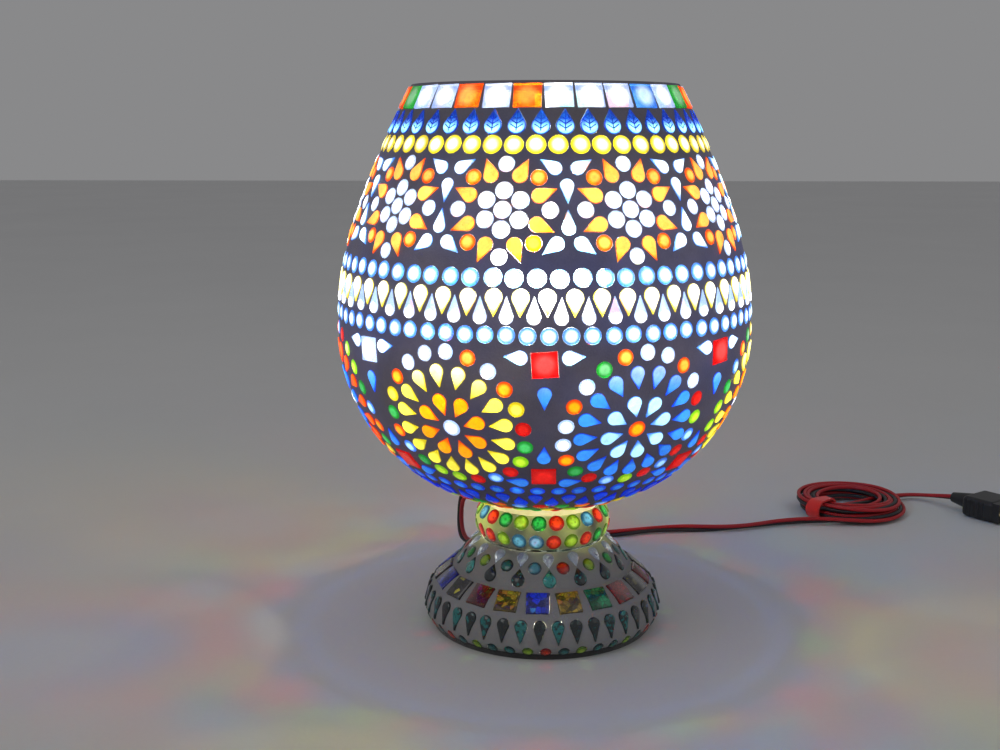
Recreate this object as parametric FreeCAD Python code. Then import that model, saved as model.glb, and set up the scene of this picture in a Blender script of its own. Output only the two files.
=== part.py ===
import FreeCAD, Part
import math
import os
import random

# Mosaic glass table lamp: an open goblet-shaped glass globe and a lobed glass foot, both
# covered with glued glass tiles and grout, lit by a lamp bulb standing inside the globe.
# Millimetres. Origin at the centre of the foot on the table, Z up along the lamp's axis.
# The front of the lamp faces -Y; an azimuth of 0 is the front and grows towards +X.

os.makedirs("parts", exist_ok=True)
V = FreeCAD.Vector
UP = V(0, 0, 1)
random.seed(11)

# ---------------------------------------------------------------- driving sizes
GLOBE_R = 106.0        # widest radius of the globe over its tiles
NECK_Z = 67.0          # lowest point of the globe's tiled skin, top of the foot
BASE_R = 62.8          # widest radius of the foot over its tiles
GLASS_T = 3.0          # wall of the blown glass
TILE_T = 2.4           # thickness of a glass tile
GROUT_DROP = 0.6       # how far the grout lies below the tile faces
TILE_CLEAR = 0.15      # gap between a tile and its pocket in the grout
FIT = 0.2              # clearance of parts that slip over each other
PAD_T = 2.0            # height of the foot's lowest edge
FELT_T = 2.7           # thickness of the felt ring that the foot rests on
PLATE_T = 1.5          # brass clamp plates
NIPPLE_R = 5.0         # threaded tube through the neck
NIPPLE_WALL = 1.4
NUT_AF = 14.0          # hexagon across flats
NUT_H = 4.0
HOLDER_R = 20.0        # lamp holder, outside
HOLDER_H = 52.0
CAP_R = 13.1           # screw cap of the bulb, over the thread
CAP_H = 25.0
BULB_R = 31.0          # diffuser dome of the bulb
BULB_H = 85.0          # bulb above its cap
FLEX_D = 5.0           # two-core flex, over both cores
COIL_R = 28.0          # middle of the turns of the coiled spare flex
COIL_W = 20.0          # width of the bundle of turns
COIL_H = 11.0          # height of the bundle of turns
TIE_T = 1.3            # thickness of the red tie round the coil
TIE_AZ = -150.0        # where the tie sits on the coil, from +X
BUSH_R = 4.6           # strain relief where the flex leaves the neck
BUSH_OUT = 20.0        # its length outside the neck
EXIT_AZ = 215.0        # azimuth of the flex exit, at the back left

# Route of the flex, hand laid: down behind the foot, then across the table at the back.
FLEX_ROUTE = [(-47.0, 67.0, 55.5), (-50.0, 80.0, 22.0), (-46.0, 112.0, 2.7),
              (-8.0, 134.0, 2.7), (36.0, 132.0, 2.7), (78.0, 150.0, 2.7),
              (122.0, 150.0, 2.7), (166.0, 170.0, 2.7), (206.0, 172.0, 2.7)]
COIL_C = (212.0, 202.0)          # centre of the coil on the table
TAIL_ROUTE = [(239.0, 204.0, 5.0), (245.0, 230.0, 2.7), (268.0, 235.0, 2.9), (286.0, 212.0, 7.5)]

# ---------------------------------------------------------------- helpers
NODES = {}


def keep(name, *shapes):
    """Collect solids under the node that they belong to."""
    NODES.setdefault(name, []).extend(shapes)


def revolve(edges):
    return Part.Face(Part.Wire(edges)).revolve(V(0, 0, 0), UP, 360)


def line(a, b):
    return Part.LineSegment(V(a[0], 0, a[1]), V(b[0], 0, b[1])).toShape()


def poly_revolve(points):
    pts = [V(r, 0, z) for r, z in points]
    face = Part.Face(Part.makePolygon(pts + [pts[0]]))
    return face.revolve(V(0, 0, 0), UP, 360)


def tube_ring(r_in, r_out, z0, z1):
    ring = Part.makeCylinder(r_out, z1 - z0, V(0, 0, z0))
    return ring.cut(Part.makeCylinder(r_in, z1 - z0 + 2, V(0, 0, z0 - 1)))


def az_dir(az):
    a = math.radians(az)
    return V(math.sin(a), -math.cos(a), 0)


class Arc:
    """A profile arc in the (radius, height) half-plane, bulging away from the axis."""

    def __init__(self, centre, radius, a0, a1):
        self.c, self.R, self.a0, self.a1 = centre, radius, a0, a1

    @staticmethod
    def through(p, q, s):
        ax, ay, bx, by, cx, cy = *p, *q, *s
        d = 2 * (ax * (by - cy) + bx * (cy - ay) + cx * (ay - by))
        a2, b2, c2 = ax * ax + ay * ay, bx * bx + by * by, cx * cx + cy * cy
        ux = (a2 * (by - cy) + b2 * (cy - ay) + c2 * (ay - by)) / d
        uy = (a2 * (cx - bx) + b2 * (ax - cx) + c2 * (bx - ax)) / d
        return Arc((ux, uy), math.hypot(ax - ux, ay - uy),
                   math.atan2(ay - uy, ax - ux), math.atan2(cy - uy, cx - ux))

    def at(self, a, d=0.0):
        return (self.c[0] + (self.R + d) * math.cos(a), self.c[1] + (self.R + d) * math.sin(a))

    def length(self):
        return self.R * abs(self.a1 - self.a0)

    def edge(self, d, back=False):
        a0, a1 = (self.a1, self.a0) if back else (self.a0, self.a1)
        p, q, s = self.at(a0, d), self.at((a0 + a1) / 2, d), self.at(a1, d)
        return Part.Arc(V(p[0], 0, p[1]), V(q[0], 0, q[1]), V(s[0], 0, s[1])).toShape()


def locate(arcs, s):
    """Radius, height and outward angle at distance s along a chain of arcs."""
    for arc in arcs:
        if s <= arc.length() or arc is arcs[-1]:
            a = arc.a0 + (arc.a1 - arc.a0) * s / arc.length()
            r, z = arc.at(a)
            return r, z, a
        s -= arc.length()


def part_of(arcs, s0, s1):
    """The piece of a chain of arcs between two distances along it."""
    out, s = [], 0.0
    for arc in arcs:
        n = arc.length()
        lo, hi = max(s0 - s, 0), min(s1 - s, n)
        if hi - lo > 1e-6:
            k = (arc.a1 - arc.a0) / n
            out.append(Arc(arc.c, arc.R, arc.a0 + k * lo, arc.a0 + k * hi))
        s += n
    return out


def path_edges(arcs, d, back=False):
    """Edges of the chain set off by d, with a short line where two offset arcs part."""
    edges, last = [], None
    for arc in (reversed(arcs) if back else arcs):
        start, end = (arc.a1, arc.a0) if back else (arc.a0, arc.a1)
        p = arc.at(start, d)
        if last and math.hypot(p[0] - last[0], p[1] - last[1]) > 1e-4:
            edges.append(line(last, p))
        edges.append(arc.edge(d, back))
        last = arc.at(end, d)
    return edges


def skin(arcs, d_in, d_out):
    """Shell of revolution between two offsets of a chain of arcs."""
    p0, p1 = arcs[0].at(arcs[0].a0, d_in), arcs[0].at(arcs[0].a0, d_out)
    q0, q1 = arcs[-1].at(arcs[-1].a1, d_in), arcs[-1].at(arcs[-1].a1, d_out)
    return revolve(path_edges(arcs, d_out) + [line(q1, q0)]
                   + path_edges(arcs, d_in, back=True) + [line(p0, p1)])


# ---------------------------------------------------------------- profiles of the tiled skins
K = GLOBE_R / 106.0                       # tile sizes on the globe follow its size
LOWER_C = 13.0 * K
LOWER_R = GLOBE_R - LOWER_C
BELLY_Z = NECK_Z + LOWER_R
BELLY_C, BELLY_ARC = GLOBE_R - 165.0 * K, 165.0 * K
SHOULDER = math.radians(20.0)
CROWN_ARC = 500.0 * K
CROWN_C = (BELLY_C + (BELLY_ARC - CROWN_ARC) * math.cos(SHOULDER),
           BELLY_Z + (BELLY_ARC - CROWN_ARC) * math.sin(SHOULDER))
RIM_A = math.radians(28.1)

GLOBE = [Arc((LOWER_C, BELLY_Z), LOWER_R, -math.pi / 2 + 0.05, 0.0),
         Arc((BELLY_C, BELLY_Z), BELLY_ARC, 0.0, SHOULDER),
         Arc(CROWN_C, CROWN_ARC, SHOULDER, RIM_A)]
GLOBE_S = sum(a.length() for a in GLOBE)
HEIGHT = CROWN_C[1] + CROWN_ARC * math.sin(RIM_A)

KR, KZ = BASE_R / 62.8, NECK_Z / 67.0
KB = min(KR, KZ)                          # tile sizes on the foot


def bp(r, z):
    return (r * KR, PAD_T + (z - 2.0) * KZ)


FOOT = [Arc.through(bp(58.2, 2.0), bp(61.9, 5.2), bp(62.8, 9.5)),
        Arc.through(bp(62.8, 9.5), bp(61.9, 16.0), bp(59.0, 21.6)),
        Arc.through(bp(59.0, 21.6), bp(53.2, 27.7), bp(46.3, 32.3))]
WAIST = [Arc.through(bp(46.3, 32.3), bp(40.5, 40.9), bp(32.8, 47.6))]
KNOB = [Arc.through(bp(32.8, 47.6), bp(36.0, 56.0), bp(30.8, 66.0))]
BASE = FOOT + WAIST + KNOB

KNOB_TOP = KNOB[0].at(KNOB[0].a1, -TILE_T)           # where the glass of the foot ends
HOLE_R = 0.66 * KNOB_TOP[0]                          # opening between foot and globe


def globe_glass_z(r, inner=False):
    """Height of the globe's glass near its bottom, at radius r."""
    rad = LOWER_R - TILE_T - (GLASS_T if inner else 0)
    return BELLY_Z - math.sqrt(rad ** 2 - max(r - LOWER_C, 0.0) ** 2)


# ---------------------------------------------------------------- tile shapes, lying on z = 0
def tear_wire(length, width, grow=0.0):
    """Outline of a teardrop, round end at -y, point at +y."""
    r = width / 2 + grow
    y0 = -length / 2 + width / 2
    tip = length / 2 + grow * 1.8
    a = math.acos(r / (tip - y0))
    p = V(r * math.sin(a), y0 + r * math.cos(a), 0)
    q, t = V(-p.x, p.y, 0), V(0, tip, 0)
    return Part.Wire([Part.Arc(p, V(0, y0 - r, 0), q).toShape(),
                      Part.LineSegment(q, t).toShape(), Part.LineSegment(t, p).toShape()])


def top_edges(solid, z):
    return [e for e in solid.Edges if all(abs(v.Z - z) < 1e-6 for v in e.Vertexes)]


def make_tear(length, width):
    solid = Part.Face(tear_wire(length, width)).extrude(V(0, 0, TILE_T))
    return solid.makeChamfer(0.18 * TILE_T, top_edges(solid, TILE_T))


def make_leaf(length, width):
    """Pressed leaf: a pointed tile with a midrib and side veins sunk into its face."""
    solid = make_tear(length, width)
    depth, w = 0.3 * TILE_T, 0.07 * width
    cuts = [Part.makeBox(w, 0.72 * length, depth * 2, V(-w / 2, -0.40 * length, TILE_T - depth))]
    for y in (-0.30, -0.12, 0.06):
        for side in (-1, 1):
            vein = Part.makeBox(0.42 * width, w, depth * 2, V(0, -w / 2, TILE_T - depth))
            vein.rotate(V(0, 0, 0), UP, 35 if side > 0 else 145)
            vein.translate(V(0, y * length, 0))
            cuts.append(vein)
    return solid.cut(cuts)


def make_dot(width):
    """Round tile with a low domed face."""
    r, side = width / 2, 0.72 * TILE_T
    rise = TILE_T - side
    ball = (r * r + rise * rise) / (2 * rise)
    face = Part.Face(Part.Wire([
        line((0, 0), (r, 0)), line((r, 0), (r, side)),
        Part.Arc(V(r, 0, side), V(ball * math.sin(0.5 * math.asin(r / ball)), 0,
                 TILE_T - ball + ball * math.cos(0.5 * math.asin(r / ball))),
                 V(0, 0, TILE_T)).toShape(),
        line((0, TILE_T), (0, 0))]))
    return face.revolve(V(0, 0, 0), UP, 360)


def make_square(width, height):
    solid = Part.makeBox(width, height, TILE_T, V(-width / 2, -height / 2, 0))
    return solid.makeChamfer(0.18 * TILE_T, top_edges(solid, TILE_T))


SHAPES = {}


def tile_pair(kind, w, h):
    """One finished tile and the tool that cuts its pocket; each is made once and copied."""
    key = (kind, round(w, 3), round(h, 3))
    if key not in SHAPES:
        c, deep = TILE_CLEAR, TILE_T + 2.0
        if kind == "dot":
            pair = make_dot(w), Part.makeCylinder(w / 2 + c, deep)
        elif kind == "square":
            pair = make_square(w, h), Part.makeBox(w + 2 * c, h + 2 * c, deep,
                                                   V(-w / 2 - c, -h / 2 - c, 0))
        else:
            body = make_leaf(h, w) if kind == "leaf" else make_tear(h, w)
            pair = body, Part.Face(tear_wire(h, w, c)).extrude(V(0, 0, deep))
        pair[1].translate(V(0, 0, -1.0))
        SHAPES[key] = pair
    return SHAPES[key]


POCKETS = {}
EXIT_Z = PAD_T + 54.0 * KZ                # height of the flex exit in the knob


def seat(arcs, az, s, spin):
    """Placement on the glass under a tiled skin; spin turns the tile to the left."""
    r, z, a = locate(arcs, s)
    r, z = r - TILE_T * math.cos(a), z - TILE_T * math.sin(a)
    phi = math.radians(az)
    out = V(math.cos(a) * math.sin(phi), -math.cos(a) * math.cos(phi), math.sin(a))
    right = V(math.cos(phi), math.sin(phi), 0)
    up = out.cross(right)
    m = FreeCAD.Matrix(right.x, up.x, out.x, r * math.sin(phi),
                       right.y, up.y, out.y, -r * math.cos(phi),
                       right.z, up.z, out.z, z, 0, 0, 0, 1)
    return FreeCAD.Placement(m).multiply(
        FreeCAD.Placement(V(0, 0, 0), FreeCAD.Rotation(UP, spin)))


def near_exit(place, half):
    """True where a tile would sit in the way of the flex exit."""
    p, d = place.Base, az_dir(EXIT_AZ)
    if p.dot(d) < 0 or p.z > NECK_Z:
        return False
    off = p - V(0, 0, EXIT_Z) - d * (p - V(0, 0, EXIT_Z)).dot(d)
    return off.Length < BUSH_R + half + 1.0


def set_tile(node, grout, arcs, kind, w, h, az, s, spin=0.0, wobble=2.0):
    tile, tool = tile_pair(kind, w, h)
    place = seat(arcs, az, s, spin + random.uniform(-wobble, wobble))
    if near_exit(place, max(w, h) / 2):
        return
    one, pocket = tile.copy(), tool.copy()
    one.Placement, pocket.Placement = place, place.multiply(pocket.Placement)
    keep(node, one)
    POCKETS.setdefault(grout, []).append(pocket)


def ring_of(node, grout, arcs, kind, w, h, s, pitch, spin=0.0, start=0.0, jitter=0.15, count=0):
    """A row of tiles round the lamp. node is a name or a function of the tile's number."""
    r = locate(arcs, s)[0]
    n = count or int(2 * math.pi * r / pitch + 1e-6)
    for i in range(n):
        az = start + 360.0 * i / n + math.degrees(random.uniform(-jitter, jitter) / r)
        name = node(i) if callable(node) else node
        set_tile(name, grout, arcs, kind, w, h, az, s + random.uniform(-jitter, jitter), spin)
    return n


def pick(prefix, letters, names):
    """Names that follow a repeating pattern of colour letters."""
    return lambda i: prefix + names[letters[i % len(letters)]]


COLOUR = {"c": "clear", "y": "yellow", "a": "amber", "r": "red", "l": "lime", "g": "green",
          "s": "sky", "z": "azure", "b": "blue", "d": "dark", "t": "teal", "o": "gold"}


# ---------------------------------------------------------------- mosaic of the globe
def crown_rows():
    g = "grout_crown"
    ring_of(pick("squares_", "cccscgaccascacgcacccasccagccaca", COLOUR), g, GLOBE,
            "square", 12.7 * K, 11.8 * K, 262.3 * K, 14.3 * K, start=5.2)
    ring_of("leaves_blue", g, GLOBE, "leaf", 8.3 * K, 12.4 * K, 249.3 * K, 10.9 * K, start=6.9)
    ring_of("dots_yellow", g, GLOBE, "dot", 8.8 * K, 0, 238.0 * K, 10.0 * K, start=4.3)


def rosettes():
    """Ten eight-petalled rosettes with sky-blue tears between them."""
    g, s0 = "grout_rosettes", 207.5 * K
    r0 = locate(GLOBE, s0)[0]
    n = int(2 * math.pi * r0 / (58.0 * K))

    def put(node, kind, w, h, az, dx, dy, spin=0.0):
        r = locate(GLOBE, s0 + dy * K)[0]
        set_tile(node, g, GLOBE, kind, w * K, h * K, az + math.degrees(dx * K / r),
                 s0 + dy * K, spin)

    for i in range(n):
        az = 24.5 + 360.0 * i / n
        put("dots_clear", "dot", 7.9, 0, az, 0, 0)
        for k in range(6):
            a = math.radians(30 + 60 * k)
            put("dots_clear", "dot", 7.9, 0, az, 8.95 * math.cos(a), 8.95 * math.sin(a))
        for k in range(8):
            a = math.radians(22.5 + 45 * k)
            put("tears_amber", "tear", 6.9, 11.8, az, 19.7 * math.cos(a), 19.7 * math.sin(a),
                math.degrees(a) - 90)
            b = math.radians(45 * k)
            put("dots_amber" if k % 2 else "dots_clear", "dot", 7.3, 0, az,
                21.3 * math.cos(b), 21.3 * math.sin(b))
        mid = az + 180.0 / n
        put("tears_sky", "tear", 6.0, 11.4, mid, 0, 8.6, 180)
        put("tears_sky", "tear", 6.0, 11.4, mid, 0, -5.6, 0)
        for side in (-1, 1):
            put("tears_sky", "tear", 6.2, 10.8, mid, side * 7.0, 20.6, -side * 58)
            put("tears_sky", "tear", 6.4, 11.0, mid, side * 7.4, -16.6, -side * 128)


def belt_rows():
    g = "grout_belt"
    ring_of("dots_sky", g, GLOBE, "dot", 8.2 * K, 0, 177.0 * K, 9.98 * K, start=4.0, jitter=0.3)
    n = ring_of("tears_yellow", g, GLOBE, "tear", 7.6 * K, 12.2 * K, 166.0 * K, 12.1 * K,
                spin=180, start=1.0)
    ring_of("tears_clear", g, GLOBE, "tear", 6.2 * K, 12.2 * K, 162.7 * K, 12.1 * K,
            start=1.0 + 180.0 / n, count=n)
    ring_of("dots_sky", g, GLOBE, "dot", 7.7 * K, 0, 151.6 * K, 9.6 * K, start=1.5, jitter=0.3)


# Medallions round the globe: azimuth of the centre and colours of the heart, the inner
# petals and the outer petals.
MEDALLIONS = [(-25.0, "clear", "amber", "yellow"), (25.7, "amber", "sky", "azure"),
              (77.1, "clear", "amber", "yellow"), (128.5, "red", "sky", "azure"),
              (180.0, "clear", "azure", "ember"), (231.4, "clear", "amber", "yellow"),
              (283.0, "clear", "azure", "ember")]
RING_COLOURS = ("ryacacccaygasgllrsrlg", "lrcaccagcaccagrslrsrs")


def medallions():
    """Petalled medallions, each in a ring of mixed dots, with squares between them."""
    g, s0 = "grout_medallions", 105.5 * K
    size = min(1.0, 2 * math.pi * locate(GLOBE, s0)[0] / (7 * 88.0 * K))

    def put(node, kind, w, h, az, dx, dy, spin=0.0):
        r = locate(GLOBE, s0 + dy * K)[0]
        set_tile(node, g, GLOBE, kind, w * K * size, h * K * size, az + math.degrees(dx * K / r),
                 s0 + dy * K, spin)

    def stretch(a, side, top, bottom):
        up = math.sin(a)
        return side + (top - side) * max(up, 0) ** 2 + (bottom - side) * min(up, 0) ** 2

    for i, (az, heart, inner, outer) in enumerate(MEDALLIONS):
        put("dots_" + heart, "dot", 8.3, 0, az, 0, 0)
        for k in range(8):
            a = math.radians(16 + 45 * k)
            put("tears_" + inner, "tear", 7.0, 10.8, az, 12.4 * math.cos(a), 12.4 * math.sin(a),
                math.degrees(a) + 90)
        for k in range(16):
            a = math.radians(8 + 22.5 * k)
            q = stretch(a, 24.8, 26.4, 24.0)
            put("tears_" + outer, "tear", 6.8, 11.0, az, q * math.cos(a), q * math.sin(a),
                math.degrees(a) + 90)
        for k in range(21):
            a = math.radians(3 + 360.0 * k / 21)
            q = stretch(a, 34.7, 37.6, 33.8)
            letters = RING_COLOURS[i % 2]
            name = COLOUR[letters[(k + 4 * (i // 2)) % len(letters)]]
            put("dots_" + name, "dot", 7.3, 0, az, q * math.cos(a), q * math.sin(a))
        nxt = MEDALLIONS[(i + 1) % len(MEDALLIONS)][0] + (360 if i == len(MEDALLIONS) - 1 else 0)
        mid = (az + nxt) / 2
        put("squares_clear" if i in (2, 6) else "squares_red", "square", 11.8, 11.4, mid, 0, 33.4, 4)
        put("squares_red", "square", 11.4, 11.2, mid, 0, -28.2, 0)
        put("tears_azure", "tear", 6.4, 11.0, mid, 0, 17.6, 180)
        put("tears_azure", "tear", 6.2, 10.6, mid, 0, -13.2, 0)
        for side in (-1, 1):
            put("tears_sky", "tear", 6.4, 10.6, mid, side * 13.0, 36.6, -side * 84)
            put("tears_azure", "tear", 6.6, 10.6, mid, side * 12.4, -33.2, -side * 78)


def skirt_rows():
    """Rows under the belly, down to the neck."""
    g = "grout_skirt"
    ring_of("dots_azure", g, GLOBE, "dot", 7.0 * K, 0, 63.7 * K, 9.8 * K, start=-1.7)
    n = ring_of("tears_blue", g, GLOBE, "tear", 6.8 * K, 11.8 * K, 53.6 * K, 15.2 * K, spin=180,
                start=-2.7)
    ring_of("tears_blue", g, GLOBE, "tear", 6.8 * K, 11.6 * K, 51.0 * K, 15.2 * K,
            start=-2.7 + 180.0 / n, count=n)
    ring_of(pick("dots_", "rgasylrscl", COLOUR), g, GLOBE, "dot", 7.6 * K, 0, 40.6 * K,
            10.3 * K, start=-0.8)
    ring_of(pick("dots_", "ylrarlyags", COLOUR), g, GLOBE, "dot", 7.2 * K, 0, 31.6 * K,
            10.2 * K, start=3.0)
    ring_of(pick("dots_", "grlzya", COLOUR), g, GLOBE, "dot", 6.6 * K, 0,
            23.4 * K, 9.4 * K, start=-4.0)


# ---------------------------------------------------------------- mosaic of the foot
def foot_mosaic():
    up, low = "grout_knob", "grout_foot"
    ln = KNOB[0].length()
    ring_of(pick("beads_", "grlsrglrsglrgslrgrlsrglr", COLOUR), up, KNOB, "dot", 7.9 * KB, 0,
            0.79 * ln, 9.2 * KR, start=-3.0)
    ring_of(pick("beads_", "srlrglrslrgslrglrsglrrl", COLOUR), up, KNOB, "dot", 7.7 * KB, 0,
            0.27 * ln, 9.2 * KR, start=-5.0)
    wl = WAIST[0].length()
    n = ring_of(pick("beads_", "srlgtrlsgrtlsrgltg", COLOUR), low, WAIST, "dot", 6.6 * KB, 0,
                0.52 * wl, 14.2 * KR, start=-5.4)
    ring_of("tears_clear", low, WAIST, "tear", 5.6 * KB, 8.4 * KB, 0.74 * wl, 14.2 * KR,
            spin=180, start=-5.4 + 180.0 / n, count=n)
    ring_of("tears_teal", low, WAIST, "tear", 6.8 * KB, 9.2 * KB, 0.25 * wl, 14.2 * KR,
            start=-5.4 + 180.0 / n, count=n)
    fl = [a.length() for a in FOOT]
    ring_of(pick("mirrors_", "bogrdrddrbogdrdbdbdro", COLOUR), low, FOOT,
            "square", 11.6 * KB, 11.6 * KB, fl[0] + fl[1] + 0.52 * fl[2], 15.8 * KR, start=-2.0,
            jitter=0.2)
    ring_of("tears_teal", low, FOOT, "tear", 6.2 * KB, 12.0 * KB, fl[0] + 0.44 * fl[1], 9.4 * KR,
            spin=180, start=-1.0)
    ring_of(pick("beads_", "rtlttltrt", COLOUR), low, FOOT, "dot", 5.6 * KB, 0, 0.42 * fl[0],
            9.0 * KR, start=2.0)


# ---------------------------------------------------------------- glass and grout
def exit_cutter(radius):
    d = az_dir(EXIT_AZ)
    return Part.makeCylinder(radius, 60, V(0, 0, EXIT_Z) + d * 12, d)


def glass_parts():
    globe = part_of(GLOBE, 0, GLOBE_S)
    shell = skin(globe, -TILE_T - GLASS_T, -TILE_T)
    keep("globe_glass", shell.cut(Part.makeCylinder(HOLE_R, 20, V(0, 0, NECK_Z - 6))))
    outer, inner = path_edges(BASE, -TILE_T), path_edges(BASE, -TILE_T - GLASS_T, back=True)
    b0, b1 = BASE[0].at(BASE[0].a0, -TILE_T), BASE[0].at(BASE[0].a0, -TILE_T - GLASS_T)
    t1 = KNOB[0].at(KNOB[0].a1, -TILE_T - GLASS_T)
    z_top, z_lip = KNOB_TOP[1], KNOB_TOP[1] - GLASS_T
    lip = [line(KNOB_TOP, (HOLE_R, z_top)), line((HOLE_R, z_top), (HOLE_R, z_lip)),
           line((HOLE_R, z_lip), (t1[0] - 0.6, z_lip)), line((t1[0] - 0.6, z_lip), t1)]
    shell = revolve(outer + lip + inner + [line(b1, b0)])
    shell = shell.cut(Part.makeBox(300, 300, 20, V(-150, -150, FELT_T - 20)))
    keep("foot_glass", shell.cut(exit_cutter(BUSH_R + FIT)))


def pocketed(arcs, tools, sectors):
    """Grout shell with its pockets cut sector by sector, then joined again."""
    step = 360.0 / sectors
    section = path_edges(arcs, -GROUT_DROP)
    p0, p1 = arcs[0].at(arcs[0].a0, -TILE_T), arcs[0].at(arcs[0].a0, -GROUT_DROP)
    q0, q1 = arcs[-1].at(arcs[-1].a1, -TILE_T), arcs[-1].at(arcs[-1].a1, -GROUT_DROP)
    section += [line(q1, q0)] + path_edges(arcs, -TILE_T, back=True) + [line(p0, p1)]
    # Spline faces: the cut bands then mesh into a third of the triangles.
    wedge = Part.Face(Part.Wire(section)).revolve(V(0, 0, 0), UP, step).toNurbs()
    done = []
    for i in range(sectors):
        piece = wedge.copy()
        piece.rotate(V(0, 0, 0), UP, step * i)
        mid = math.radians(step * (i + 0.5))
        way = V(math.cos(mid), math.sin(mid), 0)
        near = []
        for tool in tools:
            p = V(tool.Placement.Base.x, tool.Placement.Base.y, 0)
            reach = math.radians(step / 2) + 12.0 / p.Length
            if p.getAngle(way) < reach:
                near.append(tool)
        done.append(piece.cut(near) if near else piece)
    return done[0].fuse(done[1:]).removeSplitter()


def grout_parts():
    s = [14.0, 68.0, 147.3, 181.9, 233.1]
    bands = {"grout_skirt": (s[0], s[1]), "grout_medallions": (s[1], s[2]),
             "grout_belt": (s[2], s[3]), "grout_rosettes": (s[3], s[4])}
    spans = [(name, part_of(GLOBE, a * K, b * K)) for name, (a, b) in bands.items()]
    spans.append(("grout_crown", part_of(GLOBE, s[4] * K, GLOBE_S)))
    spans += [("grout_foot", FOOT + WAIST), ("grout_knob", KNOB)]
    for name, arcs in spans:
        shell = pocketed(arcs, POCKETS[name], 12)
        if name in ("grout_knob", "grout_foot"):
            shell = shell.cut(exit_cutter(BUSH_R + FIT))
        if name == "grout_foot":
            shell = shell.cut(Part.makeBox(300, 300, 20, V(-150, -150, FELT_T - 20)))
        keep(name, *shell.Solids)


# ---------------------------------------------------------------- neck, holder and bulb
GASKET_R = KNOB_TOP[0] - 1.0
PLATE_R = GASKET_R - 2.5
PLATE_Z = globe_glass_z(PLATE_R, inner=True) + 0.02
LIP_Z = KNOB_TOP[1] - GLASS_T
HOLDER_Z = PLATE_Z + PLATE_T + NUT_H
NIPPLE_Z = LIP_Z - PLATE_T - NUT_H - 4.0


def plate(z, radius):
    """Round brass plate with four windows that let light down into the foot."""
    disc = tube_ring(NIPPLE_R + FIT, radius, z, z + PLATE_T)
    mid = (NIPPLE_R + radius) / 2 + 1.2
    win = (radius - NIPPLE_R) / 2 - 3.2
    for i in range(4):
        d = az_dir(45 + 90 * i)
        disc = disc.cut(Part.makeCylinder(win, PLATE_T + 2, d * mid + V(0, 0, z - 1)))
    return disc


def hex_nut(z):
    r = NUT_AF / math.sqrt(3)
    pts = [V(r * math.cos(math.radians(60 * i)), r * math.sin(math.radians(60 * i)), z)
           for i in range(7)]
    nut = Part.Face(Part.makePolygon(pts)).extrude(V(0, 0, NUT_H))
    cone = Part.makeCone(r * 1.02, r * 1.02 - NUT_H, NUT_H, V(0, 0, z + NUT_H - 1.2))
    nut = nut.common(Part.makeCylinder(r * 1.02, NUT_H - 1.2, V(0, 0, z)).fuse(cone))
    return nut.cut(Part.makeCylinder(NIPPLE_R + 0.05, NUT_H + 2, V(0, 0, z - 1)))


def neck_parts():
    z0 = KNOB_TOP[1]
    r_in = HOLE_R + 0.8
    top = [V(r_in, 0, globe_glass_z(r_in)), V((r_in + GASKET_R) / 2, 0,
           globe_glass_z((r_in + GASKET_R) / 2)), V(GASKET_R, 0, globe_glass_z(GASKET_R))]
    edges = [line((r_in, z0), (GASKET_R, z0)), line((GASKET_R, z0), (GASKET_R, top[2].z)),
             Part.Arc(top[2], top[1], top[0]).toShape(), line((r_in, top[0].z), (r_in, z0))]
    keep("neck_gasket", revolve(edges))
    keep("clamp_plates", plate(PLATE_Z, PLATE_R),
         plate(LIP_Z - PLATE_T, min(PLATE_R, KNOB_TOP[0] - GLASS_T - 2.0)))
    keep("locknuts", hex_nut(PLATE_Z + PLATE_T), hex_nut(LIP_Z - PLATE_T - NUT_H))
    tube = tube_ring(NIPPLE_R - NIPPLE_WALL, NIPPLE_R, NIPPLE_Z, HOLDER_Z + 9.0)
    for i in range(int((HOLDER_Z + 9.0 - NIPPLE_Z - 2) / 1.5)):
        z = NIPPLE_Z + 1.0 + 1.5 * i
        groove = poly_revolve([(NIPPLE_R - 0.4, z + 0.45), (NIPPLE_R + 0.1, z),
                               (NIPPLE_R + 0.1, z + 0.9)])
        tube = tube.cut(groove)
    keep("threaded_tube", tube)


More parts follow.
